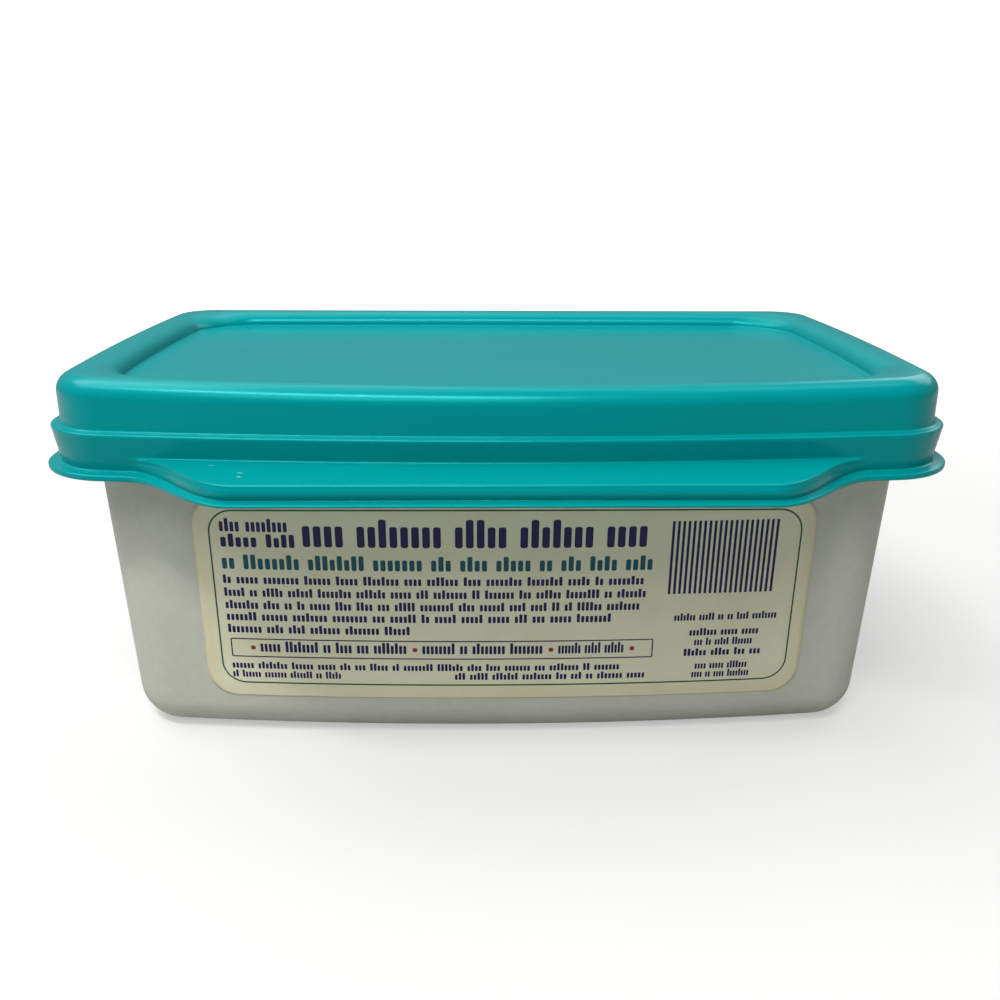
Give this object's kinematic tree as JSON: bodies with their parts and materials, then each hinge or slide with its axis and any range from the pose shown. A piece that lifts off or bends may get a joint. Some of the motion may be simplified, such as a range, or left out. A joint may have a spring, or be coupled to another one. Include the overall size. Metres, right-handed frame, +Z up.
{
  "type": "wet wipe tub",
  "caption": "Rectangular tapered tub of folded wet wipes, with a press-on lid that has a recessed top, a stepped skirt, a flange and one long grip tab, and a label on the front wall.",
  "frame": {"origin": "on the surface the tub stands on, under the middle of the box that holds the whole object", "axes": "+X along the tub to the right as the label is read, -Y toward the label and the grip tab, +Z up"},
  "size_m": [0.2496, 0.1762, 0.1081],
  "materials": {
    "tub_plastic": "frosted natural polypropylene, slightly translucent",
    "label_paper": "cream coated paper, satin",
    "wipe_cloth": "damp white nonwoven cloth",
    "lid_plastic": "teal low-density polyethylene, satin"
  },
  "bodies": {
    "tub": {"tub": "tub_plastic", "label": "label_paper", "wipes": "wipe_cloth", "top_wipe": "wipe_cloth"},
    "lid": {"lid": "lid_plastic"}
  },
  "joints": [
    {"name": "lid_lift", "type": "slide", "parent": "tub", "child": "lid", "axis": [0, 0, 1], "range_m": [0, 0.06]}
  ]
}
